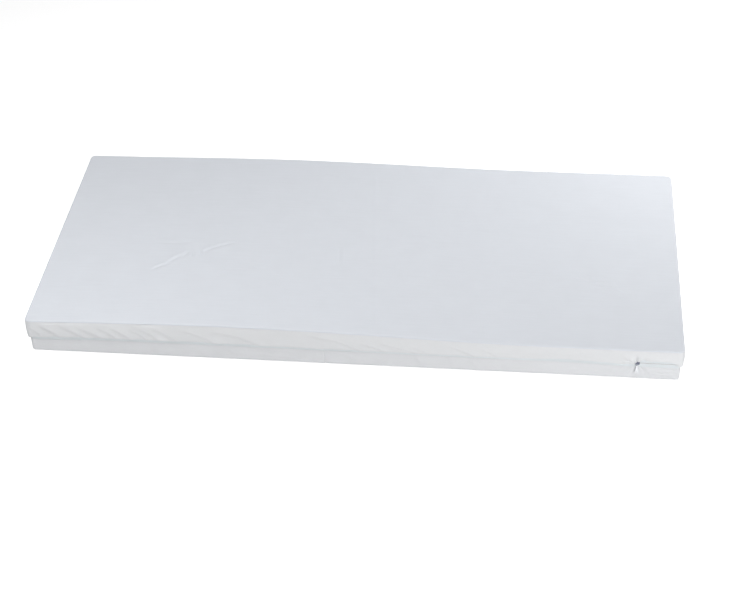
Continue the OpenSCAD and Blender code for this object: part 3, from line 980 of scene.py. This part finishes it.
makeFoam("support_base", "support_base_foam", "base", "base_foam", foamCore["slices"])
makeFoam("side_bolster_front_foam", "side_bolster_front", "bolster", "bolster_foam", foamCore["slices"])
makeFoam("side_bolster_back_foam", "side_bolster_back", "bolster", "bolster_foam", foamCore["slices"])
makeFoam("torso_zone", "torso_zone_foam", "castellated", "castellated_foam", 0)
makeFoam("heel_zone", "heel_zone_foam", "castellated", "castellated_foam", 0)
makeMemoryFoam()
print("foam core done")

makeBottomPanel()
joinS = frontJoinX + straightX
lap = lowerBorder["lap"]
makeLowerBorder("lower_border_front_left_cloth", "lower_border_front_left", frontStart, joinS + lap, lowerEdgeZ, True)
makeLowerBorder("lower_border_front_right_cloth", "lower_border_front_right", joinS - lap, frontEnd, lowerEdgeZ, True, joinS)
makeLowerBorder("lower_border_right_cloth", "lower_border_right", frontEnd, rightEnd, seamBackZ - 0.002, False)
makeLowerBorder("lower_border_back_cloth", "lower_border_back", rightEnd, backEnd, seamBackZ, False)
makeLowerBorder("lower_border_left_cloth", "lower_border_left", backEnd, leftEnd, seamBackZ - 0.002, False)
print("lower half done")

makeTopPanel()
makeUpperBorder("upper_border_front_cloth", "upper_border_front", frontStart, frontEnd, "front")
makeUpperBorder("upper_border_right_cloth", "upper_border_right", frontEnd, rightEnd, "end")
makeUpperBorder("upper_border_back_cloth", "upper_border_back", rightEnd, backEnd, "")
makeUpperBorder("upper_border_left_cloth", "upper_border_left", backEnd, leftEnd, "end")
makeHemFold()
makeBackSeam()
print("upper half done")

tapeUpperLow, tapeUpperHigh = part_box("zip_tape_upper")
makeTape("zip_tape_lower_cloth", "zip_tape_lower", "mattress_base", tapeLow.z, tapeHigh.z, True)
makeTape("zip_tape_upper_cloth", "zip_tape_upper", "cover_top", tapeUpperLow.z, tapeUpperHigh.z, False)
makeCoil("zip_coil_lower_turns", "zip_coil_lower", "mattress_base", -1, 0.0)
makeCoil("zip_coil_upper_turns", "zip_coil_upper", "cover_top", 1, 0.5)
metalPieces = {
    "zip_slider": ("slider", sliderMetal, 0.00022),
    "zip_pull": ("pull", pullMetal, 0.00025),
    "zip_end_stops": ("mattress_base", pullMetal, 0.0004),
}
for node, (body, metal, bevel) in metalPieces.items():
    metalPiece = copyOfNode(node + "_metal", node, bevel)
    finishPiece(metalPiece, body, metal, "zip_metal", node)
print("zip done")

zipRow = np.arange(zipStart + 0.004, zipStop - 0.004, sewing["pitch"])
makeStitches("stitches_lower_tape", "mattress_base", "zip_tape", zipRow, tapeIn - 0.0002 + 0 * zipRow, tapeLow.z + 0.0022 + 0 * zipRow)
makeStitches("stitches_upper_tape", "cover_top", "zip_tape", zipRow, tapeIn - 0.0002 + 0 * zipRow, tapeUpperLow.z + 0.004 + 0 * zipRow)
print("sewing done")

# ---- studio ----

studio = {
    "floorSize": 14.0,
    "floorColour": (0.86, 0.86, 0.86),
    "floorGlow": 0.55,
    "worldLight": 0.18,
    # place, power, size and aim of each softbox
    "lamps": {
        "overhead_softbox": ((0, 0, 3.2), 39.8, (3.5, 3.0), (0, 0, 0)),
        "left_softbox": ((-1.6, -0.9, 2.2), 20.6, (2.0, 2.0), (-0.6, -0.2, 0.1)),
        "left_lamp": ((-1.15, -0.75, 1.1), 2.8, (1.2, 1.2), (-0.8, -0.3, 0.1)),
        "back_softbox": ((1.45, 1.15, 1.1), 16.0, (1.2, 1.2), (0.6, 0.2, 0.1)),
        "front_softbox": ((1.9, -2.8, 0.7), 46.0, (2.0, 1.0), (0.4, -0.45, 0.06)),
    },
}


def cameraRayFactor(tree):  # 1 for what the camera sees directly, in a reflection or through glass
    path = tree.nodes.new("ShaderNodeLightPath")
    total = None
    for output in ("Is Camera Ray", "Is Glossy Ray", "Is Transmission Ray"):
        if total is None:
            total = path.outputs[output]
            continue
        add = addNode(tree, "ShaderNodeMath", operation="MAXIMUM")
        tree.links.new(total, add.inputs[0])
        tree.links.new(path.outputs[output], add.inputs[1])
        total = add.outputs["Value"]
    return total


def makeFloor():
    size = studio["floorSize"]
    ends = np.array([(-1, -1, 0), (1, -1, 0), (1, 1, 0), (-1, 1, 0)]) * size
    ends[:, 2] = -0.0004
    floor = meshFrom("studio_floor", ends, [[0, 1, 2, 3]])
    material, tree, shader = newMaterial("floor_paper", studio["floorColour"], 0.9)
    shader.inputs["Specular IOR Level"].default_value = 0
    glow = tree.nodes.new("ShaderNodeEmission")
    glow.inputs["Color"].default_value = (1, 1, 1, 1)
    strength = addNode(tree, "ShaderNodeMath", operation="MULTIPLY")
    tree.links.new(cameraRayFactor(tree), strength.inputs[0])
    strength.inputs[1].default_value = studio["floorGlow"]
    tree.links.new(strength.outputs["Value"], glow.inputs["Strength"])
    both = tree.nodes.new("ShaderNodeAddShader")
    tree.links.new(shader.outputs["BSDF"], both.inputs[0])
    tree.links.new(glow.outputs["Emission"], both.inputs[1])
    tree.links.new(both.outputs["Shader"], tree.nodes["Material Output"].inputs["Surface"])
    floor.data.materials.append(material)


def makeLamp(name, place, energy, size, aim):
    light = bpy.data.lights.new(name, "AREA")
    light.shape = "RECTANGLE"
    light.size, light.size_y = size
    light.energy = energy
    lamp = bpy.data.objects.new(name, light)
    bpy.context.scene.collection.objects.link(lamp)
    toward = np.array(aim) - np.array(place)
    lamp.location = place
    yaw = math.atan2(toward[1], toward[0]) - 0.5 * math.pi
    tilt = math.atan2(math.hypot(toward[0], toward[1]), -toward[2])
    lamp.rotation_euler = (tilt, 0, yaw)
    return lamp


def makeWorld():
    world = bpy.data.worlds.new("studio_world")
    bpy.context.scene.world = world
    world.use_nodes = True
    tree = world.node_tree
    background = tree.nodes["Background"]
    background.inputs["Color"].default_value = (1, 1, 1, 1)
    mix = addNode(tree, "ShaderNodeMix", data_type="FLOAT")
    mix.inputs["A"].default_value = studio["worldLight"]
    mix.inputs["B"].default_value = 1.0
    tree.links.new(cameraRayFactor(tree), mix.inputs["Factor"])
    tree.links.new(mix.outputs["Result"], background.inputs["Strength"])


makeFloor()
makeWorld()
for lampName, (place, energy, size, aim) in studio["lamps"].items():
    makeLamp(lampName, place, energy, size, aim)
print("studio done")

# ---- camera ----

camera = {
    "azimuth": 6.82,
    "elevation": 39.155,
    "roll": -1.827,
    "distance": 5.022,
    "target": (0.0316, -0.2028, 0.06),
    "lens": 79.05,
}


def makeCamera():
    data = bpy.data.cameras.new("photo_camera")
    data.lens = camera["lens"]
    data.sensor_width = 36
    data.sensor_fit = "HORIZONTAL"
    eye = bpy.data.objects.new("photo_camera", data)
    bpy.context.scene.collection.objects.link(eye)
    az, el = math.radians(camera["azimuth"]), math.radians(camera["elevation"])
    back = np.array([math.sin(az) * math.cos(el), -math.cos(az) * math.cos(el), math.sin(el)])
    right = np.cross(-back, [0, 0, 1])
    right /= np.linalg.norm(right)
    upward = np.cross(right, -back)
    turn = math.radians(camera["roll"])
    across = right * math.cos(turn) + upward * math.sin(turn)
    up = upward * math.cos(turn) - right * math.sin(turn)
    place = np.array(camera["target"]) + back * camera["distance"]
    rows = [[*map(float, row)] for row in np.column_stack([across, up, back, place])]
    from mathutils import Matrix
    eye.matrix_world = Matrix(rows + [[0, 0, 0, 1]])
    bpy.context.scene.camera = eye


makeCamera()
bpy.context.scene.view_settings.view_transform = "Standard"
